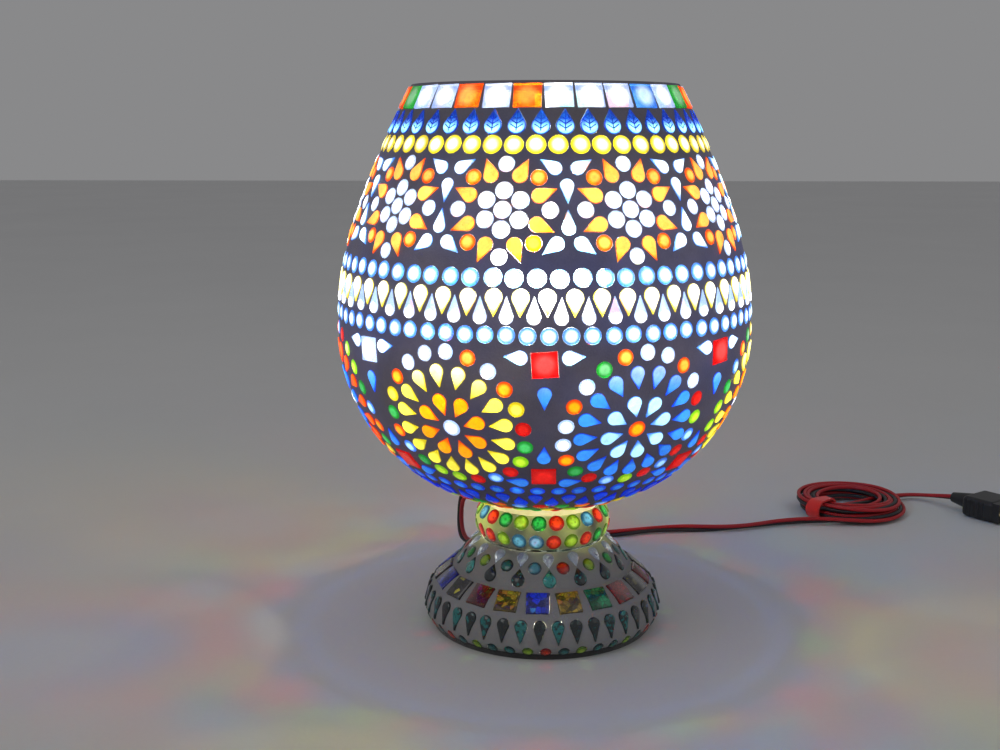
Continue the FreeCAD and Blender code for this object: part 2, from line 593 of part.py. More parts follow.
def holder_parts():
    """Screw holder: moulded body, ceramic insert, thread shell and centre contact."""
    z, r = HOLDER_Z, HOLDER_R
    body = poly_revolve([(NIPPLE_R + 0.05, z), (r * 0.62, z), (r * 0.70, z + 3),
                         (r * 0.70, z + 9), (r * 0.96, z + 17), (r * 0.96, z + 30),
                         (r, z + 31), (r, z + HOLDER_H - 1), (r - 1, z + HOLDER_H),
                         (CAP_R + 2.6, z + HOLDER_H), (CAP_R + 2.6, z + 19), (r * 0.55, z + 13),
                         (r * 0.55, z + 4), (NIPPLE_R + 0.05, z + 4)])
    for i in range(20):
        d = az_dir(18 * i)
        rib = Part.makeCylinder(0.9, 18, d * (r + 0.35) + V(0, 0, z + 32.0))
        body = body.cut(rib)
    keep("holder_body", body)
    wire_hole = [Part.makeCylinder(1.6, 12, V(x, 0, z + 12)) for x in (-6.0, 6.0)]
    insert = Part.makeCylinder(CAP_R + 2.2, 4.0, V(0, 0, z + 20))
    insert = insert.fuse(Part.makeCylinder(r * 0.5, 6.0, V(0, 0, z + 14.5)))
    keep("holder_insert", insert.cut(wire_hole))
    shell = tube_ring(CAP_R + 0.45, CAP_R + 0.95, z + 24, z + HOLDER_H - 3)
    lip = tube_ring(CAP_R + 0.45, CAP_R + 2.0, z + HOLDER_H - 3, z + HOLDER_H - 2.4)
    foot = tube_ring(CAP_R - 3.0, CAP_R + 0.95, z + 24, z + 24.5)
    spring = Part.makeCylinder(3.2, 2.6, V(0, 0, z + 24)).fuse(
        Part.makeCylinder(2.2, 1.0, V(0, 0, z + 26.4)))
    keep("holder_contacts", shell.fuse([lip, foot]).removeSplitter(), spring)


BULB_Z = HOLDER_Z + 27.7                    # underside of the bulb's centre contact


def bulb_parts():
    """Screw-cap bulb: ribbed cap, ceramic-white body and a frosted dome."""
    z = BULB_Z
    core = CAP_R - 0.7
    pts = [(0, z + 1.2), (core - 4, z + 1.2), (core - 1.6, z + 3.0), (core, z + 5.0)]
    n = 6
    for i in range(n):
        z1 = z + 5.6 + 2.9 * i
        pts += [(core, z1), (CAP_R, z1 + 0.9), (CAP_R, z1 + 1.3), (core, z1 + 2.2)]
    zt = z + CAP_H
    pts += [(core, zt), (0, zt)]
    cap = poly_revolve(pts).fuse(Part.makeCylinder(4.4, 1.3, V(0, 0, z)))
    keep("bulb_cap", cap.removeSplitter())
    h1 = 0.42 * BULB_H
    body = poly_revolve([(0, zt), (core - 0.4, zt), (core + 0.6, zt + 3),
                         (BULB_R * 0.62, zt + 0.45 * h1), (BULB_R * 0.93, zt + h1 - 2),
                         (BULB_R, zt + h1), (0, zt + h1)])
    keep("bulb_body", body)
    zb, rise = zt + h1, BULB_H - h1
    sh = BULB_R * 0.98
    outer = Part.Arc(V(sh, 0, zb), V(sh * 0.84, 0, zb + rise * 0.68), V(0.001, 0, zb + rise)).toShape()
    dome = Part.Face(Part.Wire([line((0.001, zb), (sh, zb)), outer,
                                line((0.001, zb + rise), (0.001, zb))]))
    keep("bulb_dome", dome.revolve(V(0, 0, 0), UP, 360))


# ---------------------------------------------------------------- flex and plug
def flex_wire(points, report=None):
    """Straight runs joined by tangent arcs."""
    pts = [V(*p) for p in points]
    edges, start = [], pts[0]
    for i in range(1, len(pts) - 1):
        a, b = pts[i] - pts[i - 1], pts[i + 1] - pts[i]
        turn = a.getAngle(b)
        cut = 0.45 * min(a.Length, b.Length)
        radius = cut / math.tan(turn / 2)
        if report is not None:
            report.append(round(radius, 1))
        a.normalize()
        b.normalize()
        p, q = pts[i] - a * cut, pts[i] + b * cut
        bis = b - a
        bis.normalize()
        centre = pts[i] + bis * (radius / math.cos(turn / 2))
        mid = centre - bis * radius
        edges += [Part.LineSegment(start, p).toShape(), Part.Arc(p, mid, q).toShape()]
        start = q
    edges.append(Part.LineSegment(start, pts[-1]).toShape())
    return Part.Wire(edges)


def flex_tube(points, radius, label):
    report = []
    wire = flex_wire(points, report)
    first = V(*points[1]) - V(*points[0])
    section = Part.Wire(Part.makeCircle(radius, V(*points[0]), first))
    tube = wire.makePipeShell([section], True, False)
    full = math.pi * radius ** 2 * wire.Length
    print(label, "bend radii", report, "length %.0f" % wire.Length,
          "volume ratio %.4f" % (tube.Volume / full))
    return tube


def exit_point(dist):
    return V(0, 0, EXIT_Z) + az_dir(EXIT_AZ) * dist


def flex_parts():
    """Strain relief, the run of flex, its coil, the tie and the plug."""
    wall = KNOB[0].c[0] + KNOB[0].R * math.cos(math.asin((EXIT_Z - KNOB[0].c[1]) / KNOB[0].R))
    d = az_dir(EXIT_AZ)
    inner = exit_point(wall - TILE_T - GLASS_T - 4.0)
    bush = Part.makeCylinder(BUSH_R, 4.0 + GLASS_T + TILE_T + 0.6, inner, d)
    out = exit_point(wall + 0.4)
    bush = bush.fuse(Part.makeCylinder(BUSH_R + 1.6, 2.0, out, d))
    cone = Part.makeCone(BUSH_R, FLEX_D / 2 + 0.7, BUSH_OUT - 2.0, out + d * 2.0, d)
    bush = bush.fuse(cone).removeSplitter()
    for i in range(4):
        t = 5.0 + 4.0 * i
        bush = bush.cut(tube_at(out + d * t, d, FLEX_D / 2 + 0.45, 9.0, 1.3))
    tip = out + d * BUSH_OUT
    route = [tuple(tip)] + FLEX_ROUTE
    tube = flex_tube(route, FLEX_D / 2, "flex")
    keep("flex_bush", bush.cut(tube))
    keep("flex", tube)
    tail = flex_tube(TAIL_ROUTE, FLEX_D / 2, "tail")
    keep("flex_tail", tail)
    coil_parts()
    plug_parts(tail)
    inner_wires(inner - d * 0.75)


def tube_at(p, d, r_in, r_out, length):
    return Part.makeCylinder(r_out, length, p, d).cut(Part.makeCylinder(r_in, length, p, d))


def bundle_face(grow):
    """Section of the coiled bundle: flat above and below, round at its sides."""
    cx, cy = COIL_C
    r, z = COIL_H / 2 + grow, COIL_H / 2 + TIE_T
    x0, x1 = cx + COIL_R - (COIL_W - COIL_H) / 2, cx + COIL_R + (COIL_W - COIL_H) / 2
    edges = [Part.Arc(V(x0, cy, z + r), V(x0 - r, cy, z), V(x0, cy, z - r)).toShape(),
             Part.LineSegment(V(x0, cy, z - r), V(x1, cy, z - r)).toShape(),
             Part.Arc(V(x1, cy, z - r), V(x1 + r, cy, z), V(x1, cy, z + r)).toShape(),
             Part.LineSegment(V(x1, cy, z + r), V(x0, cy, z + r)).toShape()]
    return Part.Face(Part.Wire(edges))


def coil_parts():
    """Spare flex as one closed bundle of turns, held by a red tie."""
    centre = V(COIL_C[0], COIL_C[1], 0)
    coil = bundle_face(0).revolve(centre, UP, 360)
    keep("flex_coil", coil)
    band = bundle_face(TIE_T).revolve(centre, UP, 16).cut(bundle_face(0.05).revolve(centre, UP, 360))
    band.rotate(centre, UP, TIE_AZ)
    keep("coil_tie", *band.Solids)


def plug_parts(tail):
    """Plug moulded on the end of the flex, with two round pins and an earth-less body."""
    end, last = V(*TAIL_ROUTE[-1]), V(*TAIL_ROUTE[-1]) - V(*TAIL_ROUTE[-2])
    d = V(last.x, last.y, 0)
    d.normalize()
    side = V(-d.y, d.x, 0)
    m = FreeCAD.Matrix(d.x, side.x, 0, end.x, d.y, side.y, 0, end.y, 0, 0, 1, end.z, 0, 0, 0, 1)
    neck = Part.makeCone(FLEX_D / 2 + 0.9, 6.2, 16, V(0, 0, 0), V(1, 0, 0))
    box = Part.makeBox(24, 26, 14, V(15, -13, -7))
    box = box.makeFillet(3.0, [e for e in box.Edges])
    front = Part.makeBox(5, 24, 13, V(38, -12, -6.5))
    body = neck.fuse([box, front]).removeSplitter()
    for i in range(5):
        for s in (-1, 1):
            body = body.cut(Part.makeCylinder(0.7, 12, V(19 + 3.2 * i, s * 13.2, -6)))
    body.Placement = FreeCAD.Placement(m)
    keep("plug_body", body.cut(tail))
    pins = []
    for s in (-1, 1):
        pin = Part.makeCylinder(2.4, 17, V(43, s * 9.5, 0), V(1, 0, 0))
        pin = pin.fuse(Part.makeSphere(2.4, V(60, s * 9.5, 0))).removeSplitter()
        pin.Placement = FreeCAD.Placement(m)
        pins.append(pin)
    keep("plug_pins", *pins)


def inner_wires(start):
    """Two single cores from the strain relief, up through the tube into the holder."""
    d = az_dir(EXIT_AZ)
    across = V(-d.y, d.x, 0)
    low = NIPPLE_Z - 12.0
    for s in (-1, 1):
        near, far = across * (1.3 * s), across * (3.6 * s)
        pts = [start + near, near + d * 19 + V(0, 0, EXIT_Z - 5), near + d * 12 + V(0, 0, low),
               near + V(0, 0, low - 2), near + V(0, 0, HOLDER_Z + 6.5), far + V(0, 0, HOLDER_Z + 13)]
        keep("inner_wires", flex_tube([tuple(p) for p in pts], 1.0, "core"))


def pad():
    r1 = BASE[0].at(BASE[0].a0)[0] + 0.3
    keep("felt_ring", tube_ring(r1 - 9.3, r1, 0, FELT_T))


# ---------------------------------------------------------------- build and write
for step in (crown_rows, rosettes, belt_rows, medallions, skirt_rows, foot_mosaic, glass_parts,
             grout_parts, neck_parts, holder_parts, bulb_parts, flex_parts, pad):
    step()

for name in sorted(NODES):
    solids = NODES[name]
    shape = solids[0] if len(solids) == 1 else Part.makeCompound(solids)
    shape.exportStep("parts/%s.step" % name)
print("height %.1f, nodes %d, solids %d" % (HEIGHT, len(NODES), sum(map(len, NODES.values()))))
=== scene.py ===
import math

import bmesh
import bpy
import numpy as np
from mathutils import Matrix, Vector


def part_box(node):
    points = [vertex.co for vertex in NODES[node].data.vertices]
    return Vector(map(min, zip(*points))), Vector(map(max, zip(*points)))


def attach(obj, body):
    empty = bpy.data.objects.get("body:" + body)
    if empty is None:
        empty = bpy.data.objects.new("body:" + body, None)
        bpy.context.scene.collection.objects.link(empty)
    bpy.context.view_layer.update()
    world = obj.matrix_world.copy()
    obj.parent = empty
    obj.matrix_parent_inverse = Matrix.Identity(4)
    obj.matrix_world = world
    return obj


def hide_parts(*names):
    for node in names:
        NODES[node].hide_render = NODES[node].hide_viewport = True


# Looks of the mosaic glass table lamp: lit glass tiles in dark grout on the globe, a tiled
# foot in grey cement, the bulb, the two-core flex with its coil, and the plug.
# Metres. Z is up along the lamp's axis, the front faces -Y.

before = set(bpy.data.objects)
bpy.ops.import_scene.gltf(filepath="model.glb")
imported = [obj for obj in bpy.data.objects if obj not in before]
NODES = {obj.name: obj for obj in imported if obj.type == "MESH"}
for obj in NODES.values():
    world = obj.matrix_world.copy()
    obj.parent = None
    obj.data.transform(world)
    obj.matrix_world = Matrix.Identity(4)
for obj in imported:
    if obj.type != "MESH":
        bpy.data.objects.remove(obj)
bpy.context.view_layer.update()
DOME_LOW, DOME_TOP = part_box("bulb_dome")
GLOW_Z = 0.5 * (DOME_LOW.z + DOME_TOP.z)          # middle of the lit dome
TILE_DEPTH = 0.0024                               # thickness of a glass tile
TILE_WELD = 0.000002                              # joins the loose corners of a tile's faces
GLASS_IOR = 1.5


# ---------------------------------------------------------------- camera, light and floor
def set_camera():
    data = bpy.data.cameras.new("camera")
    data.sensor_width = 36.0
    data.lens = 45.86
    data.clip_end = 50.0
    cam = bpy.data.objects.new("camera", data)
    bpy.context.scene.collection.objects.link(cam)
    cam.location = (0.0, -0.6539, 0.2586)
    cam.rotation_euler = (math.radians(90.0 - 10.89), 0.0, math.radians(1.98))
    bpy.context.scene.camera = cam


def add_light(name, kind, place, power, colour=(1, 1, 1), size=0.1, aim=None):
    data = bpy.data.lights.new(name, kind)
    data.energy = power
    data.color = colour
    if kind == "AREA":
        data.shape = "DISK"
        data.size = size
    else:
        data.shadow_soft_size = size
    obj = bpy.data.objects.new(name, data)
    bpy.context.scene.collection.objects.link(obj)
    obj.location = place
    if aim is not None:
        turn = (Vector(aim) - Vector(place)).to_track_quat("-Z", "Y")
        obj.rotation_euler = turn.to_euler()
    return obj


# ---------------------------------------------------------------- shader helpers
class Value:
    """A shader socket that can be added, multiplied and so on in plain expressions."""

    def __init__(self, tree, socket):
        self.tree, self.socket = tree, socket

    def _math(self, operation, a, b=None):
        node = self.tree.nodes.new("ShaderNodeMath")
        node.operation = operation
        for i, v in enumerate((a, b)):
            if isinstance(v, Value):
                self.tree.links.new(v.socket, node.inputs[i])
            elif v is not None:
                node.inputs[i].default_value = v
        return Value(self.tree, node.outputs[0])

    def __add__(self, other):
        return self._math("ADD", self, other)

    def __radd__(self, other):
        return self._math("ADD", other, self)

    def __sub__(self, other):
        return self._math("SUBTRACT", self, other)

    def __rsub__(self, other):
        return self._math("SUBTRACT", other, self)

    def __mul__(self, other):
        return self._math("MULTIPLY", self, other)

    def __rmul__(self, other):
        return self._math("MULTIPLY", other, self)

    def __truediv__(self, other):
        return self._math("DIVIDE", self, other)

    def __pow__(self, other):
        return self._math("POWER", self, other)

    def clamp(self):
        return self._math("MINIMUM", self._math("MAXIMUM", self, 0.0), 1.0)

    def step(self, low, high):
        """Smooth rise from 0 at low to 1 at high."""
        t = ((self - low) / (high - low)).clamp()
        return t * t * (3.0 - 2.0 * t)


class Finish:
    """A node material. make() adds any node from its type, settings and inputs."""

    def __init__(self, name):
        self.mat = bpy.data.materials.new(name)
        self.mat.use_nodes = True
        self.tree = self.mat.node_tree
        self.tree.nodes.clear()
        self.out = self.tree.nodes.new("ShaderNodeOutputMaterial")
        self.where = self.make("ShaderNodeTexCoord").outputs["Object"]

    def make(self, kind, settings=None, inputs=None):
        node = self.tree.nodes.new(kind)
        for key, v in (settings or {}).items():
            setattr(node, key, v)
        for key, v in (inputs or {}).items():
            socket = node.inputs[key]
            if isinstance(v, Value):
                self.tree.links.new(v.socket, socket)
            elif isinstance(v, bpy.types.NodeSocket):
                self.tree.links.new(v, socket)
            else:
                socket.default_value = v
        return node

    def value(self, socket):
        return Value(self.tree, socket)

    def noise(self, scale, detail=2.0, rough=0.5):
        node = self.make("ShaderNodeTexNoise", None, {
            "Vector": self.where, "Scale": scale, "Detail": detail, "Roughness": rough})
        return self.value(node.outputs["Fac"])

    def cells(self, scale, output="Distance", feature="F1"):
        node = self.make("ShaderNodeTexVoronoi", {"feature": feature},
                         {"Vector": self.where, "Scale": scale})
        return node.outputs[output]

    def height(self):
        node = self.make("ShaderNodeSeparateXYZ", None, {"Vector": self.where})
        return self.value(node.outputs["Z"])

    def across_tile(self):
        """0 at a tile's middle, 1 about at the edge of its narrow side."""
        away = self.make("ShaderNodeVectorMath", {"operation": "DISTANCE"},
                         {0: self.where, 1: self.attribute("tile_centre", "Vector")})
        return self.value(away.outputs["Value"]) / self.value(self.attribute("tile_half"))

    def attribute(self, name, output="Fac"):
        return self.make("ShaderNodeAttribute", {"attribute_name": name}).outputs[output]

    def mix(self, factor, a, b):
        """Colour between a and b; each is a colour or a socket."""
        node = self.make("ShaderNodeMix", {"data_type": "RGBA"})
        for socket, v in ((node.inputs[0], factor), (node.inputs[6], a), (node.inputs[7], b)):
            if isinstance(v, Value):
                self.tree.links.new(v.socket, socket)
            elif isinstance(v, bpy.types.NodeSocket):
                self.tree.links.new(v, socket)
            else:
                socket.default_value = (*v, 1.0) if isinstance(v, tuple) else v
        return node.outputs[2]

    def scaled(self, colour, factor):
        """A colour made brighter or darker by a value."""
        node = self.make("ShaderNodeVectorMath", {"operation": "SCALE"})
        if isinstance(colour, tuple):
            node.inputs[0].default_value = colour
        else:
            self.tree.links.new(colour, node.inputs[0])
        self.tree.links.new(factor.socket, node.inputs["Scale"])
        return node.outputs[0]

    def bump(self, height, strength, distance):
        return self.make("ShaderNodeBump", None, {
            "Strength": strength, "Distance": distance, "Height": height}).outputs[0]

    def shade(self, inputs):
        return self.make("ShaderNodeBsdfPrincipled", None, inputs).outputs[0]

    def see_through(self, colour, share, body):
        """The body shader over tinted see-through glass; share is how much the body covers."""
        clear = self.make("ShaderNodeBsdfTransparent", None,
                          {"Color": (*colour, 1.0)}).outputs[0]
        both = self.make("ShaderNodeMixShader", None, {0: share, 1: clear, 2: body})
        return self.end(both.outputs[0])

    def end(self, shader):
        self.tree.links.new(shader, self.out.inputs["Surface"])
        return self.mat


# ---------------------------------------------------------------- glass finishes
def lamp_level(f):
    """How strongly the bulb lights the wall: full beside the dome, weak below the neck."""
    z = f.height()
    low = z.step(0.068, 0.165)
    top = z.step(0.225, 0.275)
    neck = z.step(0.058, 0.070)
    return (0.05 + 0.45 * neck + 0.70 * low) * (1.0 - 0.40 * top)


def tile_core(f):
    """1 in the middle of a tile, falling to 0 towards its edge and down its sides."""
    deep = f.value(f.attribute("tile_depth"))
    return (1.0 - f.across_tile().step(0.45, 1.15)) * (1.0 - deep.step(0.04, 0.30))


def lit_tile(name, rim, core, edge_glow, core_glow, burn):
    """Tinted glass lit from behind: saturated at the rim, bright in the middle, and burnt
    out towards white beside the dome."""
    see, spread = 0.50, 0.4          # see-through share, and how much tiles differ
    f = Finish(name)
    seed = f.value(f.attribute("tile_seed"))
    level = lamp_level(f)
    cloud = f.noise(150.0, 3.0, 0.6)
    streak = f.noise(420.0, 2.0, 0.7)
    middle = (tile_core(f) * (0.55 + 0.9 * cloud)).clamp()
    own = 1.0 - spread * 0.5 + spread * seed
    bubbles = f.value(f.cells(900.0)).step(0.10, 0.22)
    glow = (edge_glow + (core_glow - edge_glow) * middle * middle * level) * level * own
    glow = glow * (0.72 + 0.5 * streak) * (0.8 + 0.2 * bubbles)
    tint = f.mix((middle * (0.4 + 0.8 * level)).clamp(), rim, core)
    tint = f.mix(middle * f.height().step(0.140, 0.165) * burn, tint, (1.0, 1.0, 1.0))
    dark = tuple(0.25 * c + 0.01 for c in rim)
    body = f.shade({
        "Base Color": f.mix(cloud, dark, tuple(0.5 * c + 0.02 for c in core)),
        "Roughness": 0.10 + 0.12 * cloud, "IOR": GLASS_IOR, "Coat Weight": 0.6,
        "Coat Roughness": 0.04, "Emission Color": f.scaled(tint, glow),
        "Emission Strength": 1.0,
        "Normal": f.bump(f.noise(260.0, 2.0), 0.25, 0.0004)})
    return f.see_through(core, 1.0 - see, body)


def bead(name, rim, core, glow):
    """Round beads of the foot, lit through the open neck and dark lower down."""
    f = Finish(name)
    z = f.height()
    level = 0.06 + 0.94 * z.step(0.040, 0.062)
    cloud = f.noise(240.0, 3.0, 0.6)
    sparkle = f.value(f.cells(520.0)).step(0.15, 0.5)
    middle = tile_core(f)
    # painted light: the glow is strongest in each bead's middle and spotted with painted glints
    # by sparkle
    power = level * glow * (0.25 + 0.9 * middle * cloud * sparkle)
    # painted light: the base colour too is lighter in each bead's middle and darker at its rim
    body = f.shade({
        "Base Color": f.mix((middle * cloud).clamp(), tuple(0.35 * c + 0.004 for c in rim), core),
        "Roughness": 0.07 + 0.10 * cloud, "IOR": GLASS_IOR, "Coat Weight": 1.0,
        "Coat Roughness": 0.03, "Emission Color": f.scaled(f.mix(middle, rim, core), power),
        "Emission Strength": 1.0,
        "Normal": f.bump(f.noise(300.0, 2.0), 0.35, 0.0005)})
    return f.see_through(core, 0.70, body)


def deep_glass(name, dark, bright, glint):
    """Thick dark glass over crumpled foil: black-teal body with bright foil streaks, and a
    painted glint glow on the streaks that grows higher up.
    """
    f = Finish(name)
    z = f.height()
    seed = f.value(f.attribute("tile_seed"))
    crumple = f.noise(330.0, 4.0, 0.65)
    streak = (f.noise(520.0, 2.0, 0.5) * (0.7 + 0.6 * seed)).step(0.46, 0.62)
    middle = tile_core(f)
    # painted light: the streaks' glint glow is stronger higher up the foot
    painted_glow_rise = z.step(0.028, 0.052)
    tone = f.mix((streak * (0.25 + 0.75 * middle)).clamp(), dark, bright)
    body = f.shade({
        "Base Color": tone, "Metallic": 0.15 + 0.5 * streak * middle,
        "Roughness": 0.10 + 0.25 * crumple, "IOR": GLASS_IOR, "Coat Weight": 1.0,
        "Coat Roughness": 0.03,
        "Emission Color": f.scaled(f.mix(streak, bright, glint),
                                   (0.02 + 0.20 * painted_glow_rise) * streak * middle),
        "Emission Strength": 1.0,
        "Normal": f.bump(crumple, 0.6, 0.0010)})
    return f.end(body)


def foil_square(name, dark, bright, glint):
    """Foil-backed square: broken reflections in its own colour under clear glass, painted into
    the colour as bright facets, with painted shade along the creases and painted glints.
    """
    f = Finish(name)
    seed = f.value(f.attribute("tile_seed"))
    facets = f.value(f.cells(330.0, "Color"))
    painted_crease_shade = f.value(f.cells(330.0, "Distance", "DISTANCE_TO_EDGE")).step(0.0, 0.10)
    dust = f.noise(700.0, 3.0, 0.7)
    # painted reflection: random facets are made metal and also painted bright, the creases
    # between them get painted shade, and spark paints glints on the brightest facets
    metal_and_painted_shine = (facets * (0.5 + 0.6 * seed) + 0.25 * dust).step(0.35, 0.80)
    middle = tile_core(f)
    spark = facets.step(0.80, 0.92) * middle
    tone = f.mix((metal_and_painted_shine * painted_crease_shade).clamp(), dark, bright)
    body = f.shade({
        "Base Color": f.mix(spark, tone, glint), "Metallic": 0.55 * metal_and_painted_shine,
        "Roughness": 0.16 + 0.25 * dust, "IOR": GLASS_IOR, "Coat Weight": 1.0,
        "Coat Roughness": 0.03,
        # painted light: the foil glows faintly, more on its painted bright facets
        "Emission Color": f.scaled(f.mix(spark, bright, glint), 0.05 + 0.25 * metal_and_painted_shine * middle),
        "Emission Strength": 0.6,
        "Normal": f.bump(facets + 0.4 * dust, 0.5, 0.0008)})
    return f.end(body)


def leaf_glass():
    """Pressed blue leaf tiles: the veins are sunk, and the painted glow is kept off them so they
    stay dark.
    """
    f = Finish("leaf_blue")
    level = lamp_level(f)
    deep = f.value(f.attribute("tile_depth"))
    cloud = f.noise(260.0, 3.0, 0.6)
    # painted shade: the glow is kept to the face, off the sunk veins and the sides
    face = 1.0 - deep.step(0.03, 0.20)
    middle = (1.0 - f.across_tile().step(0.5, 1.5)) * face
    tint = f.mix((middle * cloud * 2.2).clamp(), (0.01, 0.10, 0.90), (0.35, 0.85, 1.0))
    glow = (0.35 + 5.0 * face * (0.35 + 0.65 * middle)) * level * (0.6 + 0.8 * cloud)
    body = f.shade({
        "Base Color": (0.01, 0.04, 0.22, 1.0), "Roughness": 0.12 + 0.1 * cloud, "IOR": GLASS_IOR,
        "Coat Weight": 0.6, "Coat Roughness": 0.04,
        "Emission Color": f.scaled(tint, glow), "Emission Strength": 1.0,
        "Normal": f.bump(f.noise(300.0, 2.0), 0.2, 0.0004)})
    return f.see_through((0.12, 0.45, 1.0), 0.60, body)


def blown_glass():
    """Clear wall: see-through, mirroring at a slant."""
    f = Finish("blown_glass")
    seeds = f.value(f.cells(260.0)).step(0.02, 0.05)
    wave = f.noise(28.0, 2.0, 0.4)
    body = f.shade({
        "Base Color": (0.02, 0.03, 0.03, 1.0), "Roughness": 0.02 + 0.05 * (1.0 - seeds),
        "IOR": GLASS_IOR, "Normal": f.bump(wave, 0.3, 0.004)})
    slant = f.value(f.make("ShaderNodeLayerWeight", None, {"Blend": 0.25}).outputs["Fresnel"])
    share = (0.03 + 0.55 * slant + 0.10 * (1.0 - seeds)).clamp()
    return f.see_through((0.95, 0.98, 0.97), share, body)


# ---------------------------------------------------------------- grout finishes
def dark_grout():
    """Dark polished grout with a faint blue spill of light from the tiles."""
    f = Finish("dark_grout")
    grain = f.noise(900.0, 4.0, 0.65)
    broad = f.noise(45.0, 3.0, 0.6)
    pits = f.value(f.cells(700.0)).step(0.04, 0.16)
    level = lamp_level(f)
    spill = f.mix(f.noise(26.0, 2.0), (0.03, 0.06, 0.34), (0.17, 0.13, 0.10))
    body = f.shade({
        "Base Color": f.mix(grain * 0.6 + broad * 0.4, (0.055, 0.052, 0.048),
                            (0.150, 0.138, 0.125)),
        "Roughness": 0.34 + 0.30 * grain, "IOR": 1.45,
        "Emission Color": f.scaled(spill, level * level * (0.12 + 0.30 * broad)),
        "Emission Strength": 1.0,
        "Normal": f.bump(grain + 0.6 * pits, 0.45, 0.0006)})
    return f.end(body)


def cement(name, light, lit_low, lit_high, strength):
    """Matt grey cement with trowel marks, and a painted yellow-green glow of lamp light laid on
    it in patches higher up.
    """
    f = Finish(name)
    z = f.height()
    grain = f.noise(1100.0, 4.0, 0.7)
    cloud = f.noise(70.0, 4.0, 0.6)
    glow_patches = f.noise(24.0, 3.0, 0.6)
    pits = f.value(f.cells(520.0)).step(0.03, 0.14)
    # painted light: a yellow-green glow in patches between lit_low and lit_high, standing for
    # lamp light on the cement
    painted_glow_mask = z.step(lit_low, lit_high) * glow_patches.step(0.34, 0.60)
    tone = f.mix(cloud * 0.6 + grain * 0.4, tuple(0.50 * c for c in light), light)
    body = f.shade({
        "Base Color": tone, "Roughness": 0.66 + 0.25 * grain, "IOR": 1.45,
        "Emission Color": f.scaled(f.mix(cloud, (0.42, 0.62, 0.06), (0.85, 0.80, 0.22)),
                                   painted_glow_mask * strength * (0.4 + 0.9 * cloud)),
        "Emission Strength": 1.0,
        "Normal": f.bump(grain * 0.5 + cloud + 0.5 * pits, 0.5, 0.0009)})
    return f.end(body)


# ---------------------------------------------------------------- metal, plastic and cord
def worn_metal(name, colour, rough, brush=420.0):
    f = Finish(name)
    rub = f.noise(brush, 3.0, 0.6)
    stain = f.noise(60.0, 3.0, 0.6)
    dull = tuple(0.55 * c for c in colour)
    return f.end(f.shade({
        "Base Color": f.mix(stain, dull, colour), "Metallic": 1.0,
        "Roughness": rough + 0.20 * rub * stain,
        "Normal": f.bump(rub, 0.15, 0.0003)}))


def moulded(name, colour, rough, sheen=0.0):
    f = Finish(name)
    speck = f.noise(1300.0, 3.0, 0.6)
    dust = f.noise(55.0, 3.0, 0.6)
    pale = tuple(min(1.0, 1.35 * c + 0.015) for c in colour)
    return f.end(f.shade({
        "Base Color": f.mix((dust * 0.5 + speck * 0.3).clamp(), colour, pale),
        "Roughness": rough + 0.15 * dust, "IOR": 1.46, "Sheen Weight": sheen,
        "Normal": f.bump(speck, 0.25, 0.0002)}))


def seal():
    """Translucent ring between globe and foot, glowing warm where the light gets through."""
    f = Finish("seal")
    cloud = f.noise(120.0, 3.0, 0.6)
    tone = f.mix(cloud, (0.55, 0.50, 0.12), (1.0, 0.82, 0.50))
    return f.end(f.shade({
        "Base Color": (0.55, 0.48, 0.28, 1.0), "Roughness": 0.35 + 0.2 * cloud, "IOR": 1.42,
        "Emission Color": f.scaled(tone, 0.35 + 0.85 * cloud), "Emission Strength": 1.0,
        "Normal": f.bump(cloud, 0.3, 0.0006)}))


def felt():
    f = Finish("felt")
    fibre = f.noise(2600.0, 4.0, 0.8)
    tuft = f.noise(300.0, 3.0, 0.6)
    return f.end(f.shade({
        "Base Color": f.mix(fibre * 0.6 + tuft * 0.4, (0.010, 0.010, 0.011),
                            (0.060, 0.060, 0.062)),
        "Roughness": 0.95, "Sheen Weight": 0.5,
        "Normal": f.bump(fibre + tuft, 0.7, 0.0005)}))


def frosted_dome():
    f = Finish("frosted_dome")
    grain = f.noise(1500.0, 2.0, 0.5)
    z = f.height()
    power = 0.75 + 0.25 * z.step(DOME_LOW.z, DOME_LOW.z + 0.010) + 0.05 * grain
    return f.end(f.shade({
        "Base Color": (0.92, 0.92, 0.90, 1.0), "Roughness": 0.55 + 0.1 * grain,
        "Emission Color": f.scaled((1.0, 0.96, 0.90), power), "Emission Strength": 16.0,
        "Normal": f.bump(grain, 0.1, 0.0002)}))


def pale_floor():
    f = Finish("pale_floor")
    mottle = f.noise(3.0, 4.0, 0.6)
    weave = f.noise(420.0, 3.0, 0.6)
    return f.end(f.shade({
        "Base Color": f.mix(mottle * 0.7 + weave * 0.3, (0.62, 0.62, 0.625), (0.72, 0.72, 0.72)),
        "Roughness": 0.8, "Normal": f.bump(weave, 0.12, 0.0006)}))


